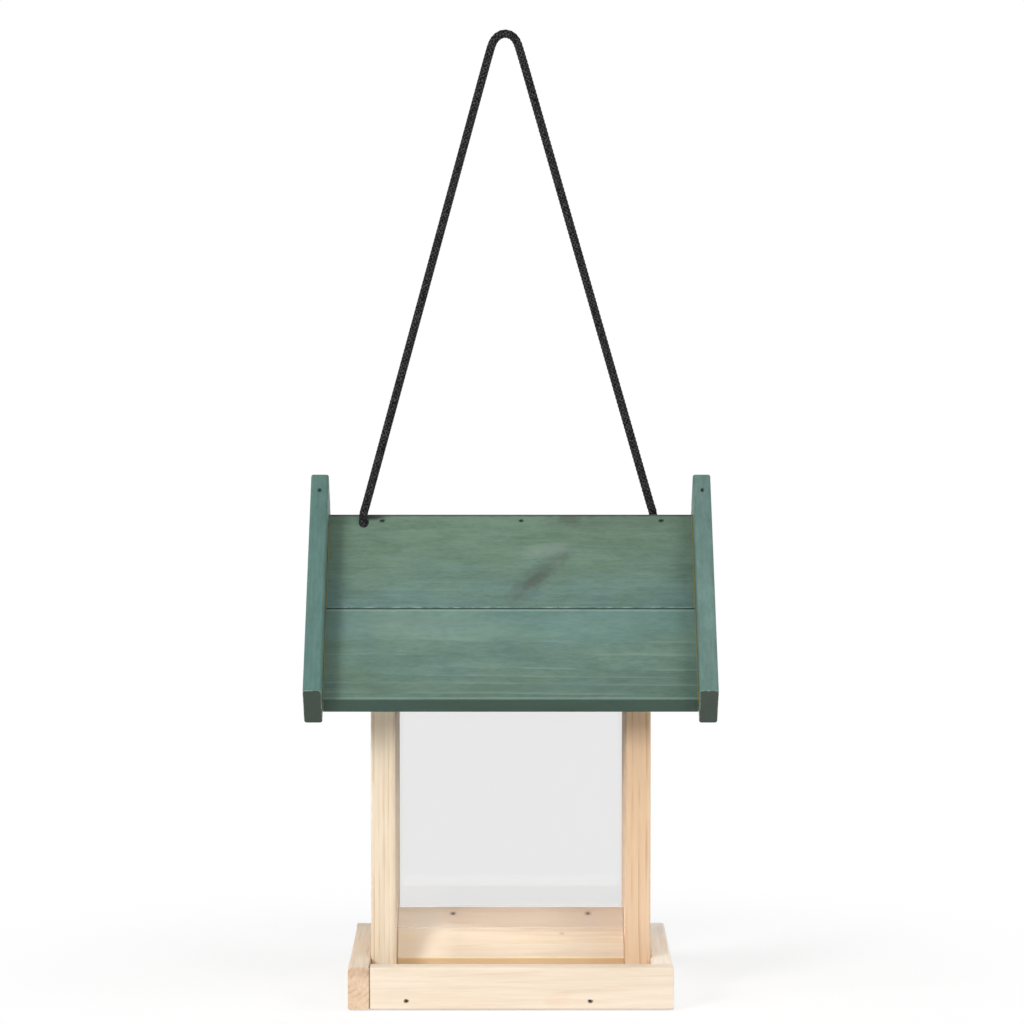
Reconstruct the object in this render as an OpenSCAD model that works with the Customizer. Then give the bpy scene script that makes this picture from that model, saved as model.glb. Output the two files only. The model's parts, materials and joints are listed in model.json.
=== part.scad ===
// Hanging wooden bird feeder: two clear panes between gabled side planks make a seed hopper that
// stands in an open tray, under a stained two-slope roof that slides up the cord it hangs from.
// Millimetres, +Z up, the front towards -Y, the origin under the middle of the tray.

/* [Tray] */
// Outer width of the seed tray, left to right
tray_w = 181; // [165:1:230]
// Outer depth of the seed tray, front to back
tray_d = 155; // [135:1:200]
// Height of the boards round the tray
tray_h = 24; // [20:1:32]
// Thickness of the boards round the tray
tray_board_t = 12; // [10:0.5:15]
// Thickness of the tray floor
floor_t = 12; // [9:0.5:15]
// Radius of the eased edges of the tray boards
tray_ease = 1.5; // [0.5:0.25:2.5]

/* [Side planks] */
// Width of a side plank, front to back
plank_d = 90; // [80:1:105]
// Thickness of a side plank
plank_t = 14; // [12:0.5:18]
// Height of a side plank from the floor to its peak
plank_h = 242; // [225:1:270]
// Radius of the eased upright edges of a plank
plank_ease = 1; // [0.5:0.25:2]
// Play between the top of a plank and the loose roof
seat_play = 0.05; // [0.05:0.05:0.3]

/* [Panes] */
// Thickness of a clear pane
pane_t = 2; // [1.5:0.25:3]
// Distance from the edge of a plank to the middle of the pane's groove
pane_inset = 5; // [4:0.5:8]
// Depth of the saw groove that holds the pane's edge
groove_depth = 4; // [3:0.5:6]
// Play between a pane and each wall of its groove
pane_play = 0.2; // [0.1:0.05:0.4]
// Play between a pane and the bottom of each groove
pane_side_play = 0.5; // [0.2:0.1:1]
// Play between the top of a pane and the roof above it
pane_top_play = 0.7; // [0.3:0.1:2]
// Height of the feed gap between the floor and a pane
feed_gap = 28; // [20:1:36]
// Diameter of the pins that a pane stands on
pin_d = 2; // [1.5:0.1:2.2]
// Depth of a pin in the wood beyond the groove
pin_grip = 5; // [3:0.5:7]

/* [Seed ramps] */
// Thickness of the two boards of the seed ramp
ramp_t = 12; // [9:0.5:14]
// Length of a ramp slope from the peak to its foot
ramp_l = 36; // [30:1:42]
// Angle of the ramp slopes
ramp_pitch = 45; // [40:1:50]
// Play between the end of a ramp board and a plank
ramp_play = 0.2; // [0.1:0.1:0.5]

/* [Roof] */
// Angle of the roof slopes
roof_pitch = 45; // [40:1:50]
// Thickness of the roof boards
roof_t = 12; // [10:0.5:15]
// Width of the roof boards between the bargeboards
roof_w = 207; // [198:1:250]
// Length of a slope from the ridge to the eave
slope_l = 135; // [120:1:160]
// Length of the slope that the upper board covers
upper_board_w = 70; // [60:1:80]
// Thickness of the tongue between the upper and lower board
tongue_t = 4; // [3:0.25:5]
// Length of the tongue
tongue_l = 4; // [3:0.25:5]
// Play of the tongue in its groove
tongue_play = 0.2; // [0.1:0.05:0.4]
// Width of the eased edges of the roof boards
roof_ease = 0.8; // [0.4:0.1:1.5]
// Radius of the rounded edges of the eave
eave_ease = 1.5; // [0.5:0.25:3]

/* [Bargeboards] */
// Thickness of a bargeboard
barge_t = 10; // [8:0.5:14]
// Depth of a bargeboard, square to the slope
barge_h = 28; // [22:1:36]
// Length of a bargeboard from the peak to its lower end
barge_l = 158; // [152:1:190]
// Radius of the rounded edges of a bargeboard
barge_ease = 1.5; // [0.5:0.25:3]

/* [Nails] */
// Diameter of the thin nails
nail_d = 1.6; // [1.2:0.1:2]
// Length of the nails
nail_l = 25; // [22:1:26]
// Length of the nails at the peaks of the bargeboards
long_nail_l = 42; // [38:1:45]
// Depth that the nail heads are set below the wood
nail_sink = 0.6; // [0.3:0.1:1]
// Play between a nail and its hole
nail_play = 0.05; // [0.02:0.01:0.1]
// Height of the nails in the edge of the tray floor
floor_nail_z = 5; // [4:0.5:6]
// Place of the left nail in the front and back tray boards
floor_nail_left = 58; // [40:1:62]
// Place of the right nail in the front and back tray boards
floor_nail_right = 44; // [30:1:60]
// Distance of the nails in the side tray boards from the middle
side_nail_y = 38; // [30:1:45]
// Height of the nails through the side tray boards into the planks
plank_nail_z = 18; // [16:0.5:20]
// Distance of the nails in the planks from the middle
plank_nail_y = 25; // [20:1:30]
// Distance of the peak nails of the roof and the ramp from the peak
peak_nail_in = 5; // [4:0.5:6]
// Distance of the nails of a bargeboard from its peak end
barge_nail_in = 12; // [9:0.5:14]

/* [Cord] */
// Diameter of the hanging cord
cord_d = 4.4; // [3.5:0.1:5]
// Diameter of the hole in the roof that the cord runs through
cord_hole_d = 5.5; // [5:0.1:6]
// Distance from the outer face of the left plank to the middle of the cord
cord_out_left = 5; // [2.6:0.1:7]
// Distance from the outer face of the right plank to the middle of the cord
cord_out_right = 2.5; // [2.5:0.1:3.5]
// Distance from the ridge line to the middle of a cord hole
cord_off = 4.5; // [4:0.5:8]
// Diameter of the hole in a plank that holds the cord's knot
anchor_hole_d = 10; // [9.5:0.5:11]
// Distance from the peak of a plank down to that hole
anchor_drop = 25.5; // [22:0.5:34]
// Diameter of the knot at each end of the cord
knot_d = 13; // [12:0.2:14]
// Length of the cord's end beyond its knot
cord_end_l = 6; // [4:0.5:10]

/* [Hidden] */
$fn = 40;
FRONT = -1;
BACK = 1;
LEFT = -1;
RIGHT = 1;

pale_wood = [0.95, 0.87, 0.75];
warm_wood = [0.90, 0.79, 0.63];
green_stain = [0.42, 0.54, 0.49];
dark_stain = [0.38, 0.49, 0.45];
clear_sheet = [0.85, 0.90, 0.92, 0.4];
bright_nail = [0.45, 0.44, 0.42];
black_cord = [0.10, 0.10, 0.10];

// The planks stand on the floor against the side boards, and their peaks carry the roof
floor_w = tray_w - 2 * tray_board_t;
floor_d = tray_d - 2 * tray_board_t;
plank_out_x = floor_w / 2;
plank_in_x = plank_out_x - plank_t;
hopper_w = 2 * plank_in_x;
peak_z = floor_t + plank_h;
pane_y = plank_d / 2 - pane_inset;
pane_low_z = floor_t + feed_gap;
pane_top_z = peak_z - (pane_y + pane_t / 2) * tan(roof_pitch) - pane_top_play;

// The ramp stands on the inner corners of its square-cut feet
ramp_foot_s = ramp_l - ramp_t * tan(ramp_pitch);
ramp_peak_z = floor_t + ramp_foot_s * sin(ramp_pitch);

// Distances s down a slope count from the peak of its underside, and heights e square to it
seam_s = upper_board_w - roof_t * tan(roof_pitch);
eave_s = slope_l - roof_t * tan(roof_pitch);
barge_end_s = barge_l - barge_h * tan(roof_pitch);
barge_x = roof_w / 2;
upper_nail_s = [8, 43];
lower_nail_s = [seam_s + 15, eave_s - 15];
ridge_nail_x = [-73, 6, 85.5];
ramp_nail_x = [-33, 44];
anchor_z = peak_z - anchor_drop;

// The cord's route: up out of the front slope at the left, over the hook, down into the back
// slope at the right. Under the roof each end turns in through its plank to a knot.
cord_sides = 10;
cord_ring_step = 3 * cord_d;
loop_route = [
    [-83.5, -4.5, 256], [-83.5, -4.5, 264], [-83.2, -4.5, 267.5], [-82.4, -4.4, 271.5],
    [-13.4, -0.7, 527.5], [-12.1, -0.6, 532], [-11.1, -0.5, 535.6], [-9.8, -0.5, 538.8],
    [-7.7, -0.4, 541.3], [-5, -0.2, 542.8],
    [-2.2, -0.1, 543], [0.5, 0, 542], [2.7, 0.1, 539.9], [4.2, 0.2, 536.7],
    [5.4, 0.3, 532.8], [7, 0.4, 527.5], [79.7, 4.4, 271.5], [80.7, 4.5, 267.5],
    [81, 4.5, 264], [81, 4.5, 256]
];
right_tail_route = [
    [81, 4.5, 256], [81, 4.5, 245], [81, 4.5, 236], [80.6, 4.5, 233.2], [79.3, 4.5, 230.7],
    [77.3, 4.5, 228.7], [74.8, 4.5, 227.4], [72, 4.5, 227], [64.5, 4.5, 227]
];
left_tail_route = [
    [-83.5, -4.5, 256], [-83.5, -4.5, 245], [-83.5, -4.5, 236], [-83.1, -4.5, 233.2],
    [-81.8, -4.5, 230.7], [-79.8, -4.5, 228.7], [-77.3, -4.5, 227.4], [-74.5, -4.5, 227],
    [-64.5, -4.5, 227]
];

// The corner b between a and c, rounded with radius r by an arc of short chords
function unit(v) = v / norm(v);
function turn(d) = d > 180 ? d - 360 : d < -180 ? d + 360 : d;
function corner(a, b, c, r, chords = 4) =
    r <= 0 ? [b] :
    let (
        u = unit(a - b),
        v = unit(c - b),
        half = acos(u * v) / 2,
        centre = b + unit(u + v) * r / sin(half),
        from = b + u * r / tan(half) - centre,
        to = b + v * r / tan(half) - centre,
        start = atan2(from[1], from[0]),
        sweep = turn(atan2(to[1], to[0]) - start)
    )
    [for (i = [0:chords]) centre + r * [cos(start + sweep * i / chords), sin(start + sweep * i / chords)]];

// An outline from its corners, each given as [place, radius]
function eased(corners) =
    let (n = len(corners))
    [for (i = [0:n - 1])
        each corner(corners[(i + n - 1) % n][0], corners[i][0], corners[(i + 1) % n][0], corners[i][1])];

// The place [y, z] of a point on a slope, s down it and e above its underside
function on_slope(peak, pitch, side, s, e) =
    [side * (s * cos(pitch) + e * sin(pitch)), peak - s * sin(pitch) + e * cos(pitch)];

// Where a lapping board ends, in line with the top of the board that it covers, and where the
// covered board starts, against the underside of the lapping one
function lap_end(e, t, pitch) = (e * cos(2 * pitch) - t) / sin(2 * pitch);
function butt_end(e, pitch) = e * cos(2 * pitch) / sin(2 * pitch);
function top_end(e, t, pitch, side) = side == FRONT ? lap_end(e, t, pitch) : butt_end(e, pitch);

// A route with more points on its long straight runs
function filled(route, step) = [
    for (i = [0:len(route) - 2])
        let (from = route[i], to = route[i + 1], runs = ceil(norm(to - from) / step))
        each [for (k = [0:runs - 1]) from + (to - from) * k / runs],
    route[len(route) - 1]
];

// A tube of even rings along a route, each ring square to it, with flat ends
function heading(p, i) = unit(p[min(i + 1, len(p) - 1)] - p[max(i - 1, 0)]);
function carried(n, t) = unit(n - (n * t) * t);
function ring_normals(p, n, i = 0) =
    i == len(p) ? [] :
    let (m = carried(n, heading(p, i)))
    concat([m], ring_normals(p, m, i + 1));
module tube(route, d, sides) {
    normals = ring_normals(route, [0, 1, 0]);
    points = [
        for (i = [0:len(route) - 1], k = [0:sides - 1])
            let (n = normals[i], b = cross(heading(route, i), n))
            route[i] + d / 2 * (cos(360 * k / sides) * n + sin(360 * k / sides) * b)
    ];
    last = (len(route) - 1) * sides;
    walls = [
        for (i = [0:len(route) - 2], k = [0:sides - 1])
            let (a = i * sides + k, b = i * sides + (k + 1) % sides)
            each [[a, b + sides, b], [a, a + sides, b + sides]]
    ];
    ends = [
        [for (k = [0:sides - 1]) k],
        [for (k = [sides - 1:-1:0]) last + k]
    ];
    polyhedron(points, concat(walls, ends));
}

// A side outline drawn in [y, z], made w wide across the middle
module across(w) {
    translate([-w / 2, 0, 0]) rotate([90, 0, 90]) linear_extrude(w) children();
}

// A nail points along +Z from the face of the wood, which is at z = 0
module nail(l) {
    translate([0, 0, nail_sink]) cylinder(d = nail_d, h = l - nail_sink);
}

module nail_hole(l) {
    translate([0, 0, -1]) cylinder(d = nail_d + 2 * nail_play, h = l + 1 + nail_play);
}

// Two in each tray board, into the edge of the floor
module at_tray_nails() {
    for (side = [FRONT, BACK], x = [-floor_nail_left, floor_nail_right])
        translate([x, side * tray_d / 2, floor_nail_z]) rotate([side * 90, 0, 0]) children();
    for (side = [LEFT, RIGHT], y = [-side_nail_y, side_nail_y])
        translate([side * tray_w / 2, y, floor_nail_z]) rotate([0, -side * 90, 0]) children();
}

// Two through each side board of the tray, into the foot of the plank
module at_plank_nails() {
    for (side = [LEFT, RIGHT], y = [-plank_nail_y, plank_nail_y])
        translate([side * tray_w / 2, y, plank_nail_z]) rotate([0, -side * 90, 0]) children();
}

// Through the lapping board of a peak, into the end of the board behind it
module at_peak_nails(peak, pitch, t, inset, places) {
    for (x = places)
        translate([x, 0, peak]) rotate([pitch, 0, 0])
            translate([0, t * tan(pitch) - inset, t]) rotate([180, 0, 0]) children();
}

// Through each plank into the end of each ramp board, at the middle of the board
module at_ramp_end_nails() {
    for (side = [LEFT, RIGHT], slope = [FRONT, BACK]) {
        place = on_slope(ramp_peak_z, ramp_pitch, slope, ramp_foot_s / 4, ramp_t / 2);
        translate([side * plank_out_x, place[0], place[1]]) rotate([0, -side * 90, 0]) children();
    }
}

// Through the side of a bargeboard into the ends of the roof boards
module at_barge_nails(side, slope, places) {
    for (s = places) {
        place = on_slope(peak_z, roof_pitch, slope, s, roof_t / 2);
        translate([side * (barge_x + barge_t), place[0], place[1]]) rotate([0, -side * 90, 0])
            children();
    }
}

module cord_holes() {
    for (place = [
        [-plank_out_x - cord_out_left, -cord_off], [plank_out_x + cord_out_right, cord_off]
    ])
        translate([place[0], place[1], peak_z - 2 * roof_t]) cylinder(d = cord_hole_d, h = 5 * roof_t);
}

// One board of the tray, lying along X with its outer face towards -Y
module tray_board(l) {
    across(l)
        polygon(eased([
            [[0, 0], tray_ease], [[tray_board_t, 0], tray_ease],
            [[tray_board_t, tray_h], tray_ease], [[0, tray_h], tray_ease]
        ]));
}

// The four boards go round like a pinwheel: each covers the end of the next
module tray_side(quarter) {
    along = quarter % 2 == 0 ? tray_w : tray_d;
    out = quarter % 2 == 0 ? tray_d : tray_w;
    color(quarter % 2 == 0 ? pale_wood : warm_wood)
        difference() {
            rotate([0, 0, 90 * quarter])
                translate([tray_board_t / 2, -out / 2, 0]) tray_board(along - tray_board_t);
            at_tray_nails() nail_hole(nail_l);
            at_plank_nails() nail_hole(nail_l);
        }
}

module tray_front_board() { tray_side(0); }
module tray_right_board() { tray_side(1); }
module tray_back_board() { tray_side(2); }
module tray_left_board() { tray_side(3); }

module tray_floor() {
    color(pale_wood)
        difference() {
            translate([-floor_w / 2, -floor_d / 2, 0]) cube([floor_w, floor_d, floor_t]);
            at_tray_nails() nail_hole(nail_l);
        }
}

// Outline of a plank from above, its outer face towards +X, with a saw groove near each edge
module plank_plan() {
    groove_w = pane_t + 2 * pane_play;
    difference() {
        polygon(eased([
            [[plank_in_x, -plank_d / 2], plank_ease], [[plank_out_x, -plank_d / 2], plank_ease],
            [[plank_out_x, plank_d / 2], plank_ease], [[plank_in_x, plank_d / 2], plank_ease]
        ]));
        for (side = [FRONT, BACK])
            translate([plank_in_x - 1, side * pane_y - groove_w / 2])
                square([groove_depth + 1, groove_w]);
    }
}

// The plank's two top slopes meet at the peak and carry the underside of the roof
module side_plank(side) {
    top_z = peak_z - seat_play;
    reach = plank_d;
    fall = reach * tan(roof_pitch);
    color(side == LEFT ? pale_wood : warm_wood)
        difference() {
            intersection() {
                rotate([0, 0, side == LEFT ? 180 : 0])
                    translate([0, 0, floor_t]) linear_extrude(plank_h) plank_plan();
                across(tray_w)
                    polygon([
                        [0, top_z], [-reach, top_z - fall], [-reach, 0], [reach, 0],
                        [reach, top_z - fall]
                    ]);
            }
            translate([side * (plank_in_x - 1), side * cord_off, anchor_z]) rotate([0, side * 90, 0])
                cylinder(d = anchor_hole_d, h = plank_t + 2);
            at_plank_nails() nail_hole(nail_l);
            at_ramp_end_nails() nail_hole(nail_l);
            at_stop_pins() cylinder(d = pin_d + 2 * nail_play, h = groove_depth + pin_grip + nail_play);
        }
}

module left_side_plank() { side_plank(LEFT); }
module right_side_plank() { side_plank(RIGHT); }

// The pins start level with the inner face of the plank and cross the groove below the pane
module at_stop_pins() {
    for (side = [LEFT, RIGHT], face = [FRONT, BACK])
        translate([side * plank_in_x, face * pane_y, pane_low_z - pin_d / 2]) rotate([0, side * 90, 0])
            children();
}

module pane_stop_pins() {
    color(bright_nail) at_stop_pins() cylinder(d = pin_d, h = groove_depth + pin_grip);
}

module pane(face) {
    w = hopper_w + 2 * (groove_depth - pane_side_play);
    h = pane_top_z - pane_low_z;
    color(clear_sheet)
        translate([0, face * pane_y + pane_t / 2, pane_low_z]) rotate([90, 0, 0])
            linear_extrude(pane_t)
                polygon(eased([
                    [[-w / 2, 0], 1], [[w / 2, 0], 1], [[w / 2, h], 1], [[-w / 2, h], 1]
                ]));
}

module front_pane() { pane(FRONT); }
module back_pane() { pane(BACK); }

// Two boards form a low gable inside the hopper and turn the seed out to the front and back
module seed_ramp(slope) {
    ends = [for (e = [0, ramp_t]) top_end(e, ramp_t, ramp_pitch, slope)];
    outline = [
        [[ends[0], 0], 0], [[ramp_foot_s, 0], 0], [[ramp_foot_s, ramp_t], 1], [[ends[1], ramp_t], 0.5]
    ];
    color(warm_wood)
        difference() {
            across(hopper_w - 2 * ramp_play)
                polygon(eased([
                    for (c = outline)
                        [on_slope(ramp_peak_z, ramp_pitch, slope, c[0][0], c[0][1]), c[1]]
                ]));
            at_peak_nails(ramp_peak_z, ramp_pitch, ramp_t, peak_nail_in, ramp_nail_x)
                nail_hole(nail_l);
            at_ramp_end_nails() nail_hole(nail_l);
        }
}

module front_seed_ramp() { seed_ramp(FRONT); }
module back_seed_ramp() { seed_ramp(BACK); }

module tray_nails() {
    color(bright_nail) at_tray_nails() nail(nail_l);
}

module plank_nails() {
    color(bright_nail) at_plank_nails() nail(nail_l);
}

module ramp_peak_nails() {
    color(bright_nail)
        at_peak_nails(ramp_peak_z, ramp_pitch, ramp_t, peak_nail_in, ramp_nail_x) nail(nail_l);
}

module ramp_end_nails() {
    color(bright_nail) at_ramp_end_nails() nail(nail_l);
}

// A roof board from its corners, given as [[s, e], radius]
module roof_board(slope, outline, tint) {
    color(tint)
        difference() {
            across(roof_w)
                polygon(eased([
                    for (c = outline) [on_slope(peak_z, roof_pitch, slope, c[0][0], c[0][1]), c[1]]
                ]));
            at_peak_nails(peak_z, roof_pitch, roof_t, peak_nail_in, ridge_nail_x) nail_hole(nail_l);
            for (side = [LEFT, RIGHT])
                at_barge_nails(side, slope, concat(upper_nail_s, lower_nail_s)) nail_hole(nail_l);
            cord_holes();
        }
}

// The upper board reaches the ridge and has a groove in its lower edge
module upper_roof_board(slope) {
    half_groove = tongue_t / 2 + tongue_play;
    mid = roof_t / 2;
    groove_s = seam_s - tongue_l - 2 * tongue_play;
    roof_board(slope, [
        [[top_end(0, roof_t, roof_pitch, slope), 0], 0], [[seam_s, 0], 0],
        [[seam_s, mid - half_groove], 0], [[groove_s, mid - half_groove], 0],
        [[groove_s, mid + half_groove], 0], [[seam_s, mid + half_groove], 0],
        [[seam_s, roof_t - roof_ease], 0], [[seam_s - roof_ease, roof_t], 0],
        [[top_end(roof_t, roof_t, roof_pitch, slope), roof_t], slope == FRONT ? roof_ease : 0]
    ], green_stain);
}

// The lower board has the tongue on its upper edge and a rounded eave
module lower_roof_board(slope) {
    mid = roof_t / 2;
    tongue_s = seam_s - tongue_l;
    roof_board(slope, [
        [[seam_s, 0], 0], [[eave_s, 0], eave_ease], [[eave_s, roof_t], eave_ease],
        [[seam_s + roof_ease, roof_t], 0], [[seam_s, roof_t - roof_ease], 0],
        [[seam_s, mid + tongue_t / 2], 0], [[tongue_s, mid + tongue_t / 2], 0.8],
        [[tongue_s, mid - tongue_t / 2], 0.8], [[seam_s, mid - tongue_t / 2], 0]
    ], green_stain);
}

module front_upper_roof_board() { upper_roof_board(FRONT); }
module front_lower_roof_board() { lower_roof_board(FRONT); }
module back_upper_roof_board() { upper_roof_board(BACK); }
module back_lower_roof_board() { lower_roof_board(BACK); }

// A bargeboard has rounded long edges. The front one laps the back one at the peak.
module bargeboard(side, slope) {
    slope_outline = [
        [top_end(0, barge_h, roof_pitch, slope), 0], [barge_end_s, 0], [barge_end_s, barge_h],
        [top_end(barge_h, barge_h, roof_pitch, slope), barge_h]
    ];
    color(dark_stain)
        difference() {
            intersection() {
                translate([side * (barge_x + barge_t / 2), 0, peak_z])
                    rotate([slope == FRONT ? 90 + roof_pitch : 270 - roof_pitch, 0, 0])
                        translate([0, 0, -2 * barge_h]) linear_extrude(barge_l + 3 * barge_h)
                            barge_section(slope);
                across(2 * (barge_x + 2 * barge_t))
                    polygon([for (c = slope_outline) on_slope(peak_z, roof_pitch, slope, c[0], c[1])]);
            }
            at_barge_nails(side, slope, concat(upper_nail_s, lower_nail_s)) nail_hole(nail_l);
            at_peak_nails(peak_z, roof_pitch, barge_h, barge_nail_in, barge_nail_x())
                nail_hole(long_nail_l);
        }
}

// Section of a bargeboard across the slope, its underside on the line y = 0
module barge_section(slope) {
    up = slope == FRONT ? 1 : -1;
    polygon(eased([
        [[-barge_t / 2, 0], barge_ease], [[barge_t / 2, 0], barge_ease],
        [[barge_t / 2, up * barge_h], barge_ease], [[-barge_t / 2, up * barge_h], barge_ease]
    ]));
}

function barge_nail_x() = [for (side = [LEFT, RIGHT]) side * (barge_x + barge_t / 2)];

module front_left_bargeboard() { bargeboard(LEFT, FRONT); }
module front_right_bargeboard() { bargeboard(RIGHT, FRONT); }
module back_left_bargeboard() { bargeboard(LEFT, BACK); }
module back_right_bargeboard() { bargeboard(RIGHT, BACK); }

module ridge_nails() {
    color(bright_nail)
        at_peak_nails(peak_z, roof_pitch, roof_t, peak_nail_in, ridge_nail_x) nail(nail_l);
}

module bargeboard_peak_nails() {
    color(bright_nail)
        at_peak_nails(peak_z, roof_pitch, barge_h, barge_nail_in, barge_nail_x()) nail(long_nail_l);
}

module bargeboard_side_nails() {
    color(bright_nail)
        for (side = [LEFT, RIGHT], slope = [FRONT, BACK])
            at_barge_nails(side, slope, concat(upper_nail_s, lower_nail_s)) nail(nail_l);
}

module cord_loop() {
    color(black_cord) tube(filled(loop_route, cord_ring_step), cord_d, cord_sides);
}

module left_cord_tail() {
    color(black_cord) tube(filled(left_tail_route, cord_ring_step), cord_d, cord_sides);
}

module right_cord_tail() {
    color(black_cord) tube(filled(right_tail_route, cord_ring_step), cord_d, cord_sides);
}

// A knot is drawn up against the mouth of its hole, with the cord's short end beyond it
module cord_knots() {
    knot_r = knot_d / 2;
    mouth_r = anchor_hole_d / 2;
    stand_off = sqrt(pow(knot_r, 2) - pow(mouth_r, 2)) + nail_play;
    color(black_cord)
        for (side = [LEFT, RIGHT])
            translate([side * plank_in_x, side * cord_off, anchor_z]) rotate([0, -side * 90, 0])
                rotate_extrude() {
                    intersection() {
                        translate([0, stand_off]) circle(knot_r);
                        square([knot_r, 2 * knot_r]);
                    }
                    square([cord_d / 2, stand_off + knot_r + cord_end_l]);
                }
}

tray_floor();
tray_front_board();
tray_right_board();
tray_back_board();
tray_left_board();
left_side_plank();
right_side_plank();
front_pane();
back_pane();
pane_stop_pins();
front_seed_ramp();
back_seed_ramp();
tray_nails();
plank_nails();
ramp_peak_nails();
ramp_end_nails();
front_upper_roof_board();
front_lower_roof_board();
back_upper_roof_board();
back_lower_roof_board();
front_left_bargeboard();
front_right_bargeboard();
back_left_bargeboard();
back_right_bargeboard();
ridge_nails();
bargeboard_peak_nails();
bargeboard_side_nails();
cord_loop();
left_cord_tail();
right_cord_tail();
cord_knots();
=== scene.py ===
import json
import math

import bmesh
import bpy
import numpy as np
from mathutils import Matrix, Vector

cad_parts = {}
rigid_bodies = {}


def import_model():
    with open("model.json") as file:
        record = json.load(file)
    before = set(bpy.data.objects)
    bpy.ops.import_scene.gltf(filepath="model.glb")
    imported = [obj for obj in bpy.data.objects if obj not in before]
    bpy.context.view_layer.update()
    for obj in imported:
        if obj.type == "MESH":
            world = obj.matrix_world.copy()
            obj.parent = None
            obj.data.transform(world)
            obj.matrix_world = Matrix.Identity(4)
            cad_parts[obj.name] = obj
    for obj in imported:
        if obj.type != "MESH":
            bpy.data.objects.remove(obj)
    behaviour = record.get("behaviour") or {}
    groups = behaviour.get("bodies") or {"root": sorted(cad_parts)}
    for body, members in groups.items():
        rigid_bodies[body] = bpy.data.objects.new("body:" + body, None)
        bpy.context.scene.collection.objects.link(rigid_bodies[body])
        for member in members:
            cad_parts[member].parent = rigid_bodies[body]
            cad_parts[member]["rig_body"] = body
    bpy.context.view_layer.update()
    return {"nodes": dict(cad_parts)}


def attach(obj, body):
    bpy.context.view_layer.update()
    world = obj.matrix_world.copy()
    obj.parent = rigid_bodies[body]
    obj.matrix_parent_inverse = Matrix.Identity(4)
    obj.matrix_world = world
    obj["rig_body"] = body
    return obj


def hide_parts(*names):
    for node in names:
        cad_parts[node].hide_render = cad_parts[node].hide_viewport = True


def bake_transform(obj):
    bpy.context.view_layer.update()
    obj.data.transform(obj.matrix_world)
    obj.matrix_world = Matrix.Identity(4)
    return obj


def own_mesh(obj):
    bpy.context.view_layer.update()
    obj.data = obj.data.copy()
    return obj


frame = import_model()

# ---------------------------------------------------------------- camera and studio
# A long lens in front of the feeder, level with the loop of its cord and looking a little down.
# Soft lamps all round, the key from the upper left.
def placed(name, data):
    """A new object that holds the data, linked to the scene."""
    obj = bpy.data.objects.new(name, data)
    bpy.context.collection.objects.link(obj)
    return obj


DEGREES_DOWN = 3.8
camera_data = bpy.data.cameras.new("camera")
camera_data.lens = 153.4
camera_data.sensor_width = 36
camera = placed("camera", camera_data)
camera.location = (0.0007, -2.4775, 0.4367)
camera.rotation_euler = (math.radians(90 - DEGREES_DOWN), 0, 0)
bpy.context.scene.camera = camera
bpy.context.scene.view_settings.view_transform = "Standard"


def softbox(name, place, aim, width, height, power):
    """A rectangular studio lamp that faces a point."""
    data = bpy.data.lights.new(name, "AREA")
    data.shape = "RECTANGLE"
    data.size, data.size_y = width, height
    data.energy = power
    lamp = placed(name, data)
    lamp.location = place
    lamp.rotation_euler = (Vector(aim) - Vector(place)).to_track_quat("-Z", "Y").to_euler()


MIDDLE = (0, 0, 0.2)
softbox("key_left", (-1.05, -1.45, 0.80), MIDDLE, 0.5, 0.5, 18.0)
softbox("fill_right", (1.2, -1.4, 0.80), MIDDLE, 0.6, 0.6, 8.0)
softbox("high_front", (0, -1.3, 1.6), MIDDLE, 1.2, 0.5, 5.5)
softbox("side_left", (-1.45, -0.45, 0.72), MIDDLE, 0.3, 0.3, 5)
softbox("side_right", (1.45, -0.25, 0.95), MIDDLE, 0.9, 0.6, 7)
softbox("back", (0.5, 1.9, 0.9), MIDDLE, 1.2, 0.9, 9)


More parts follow.
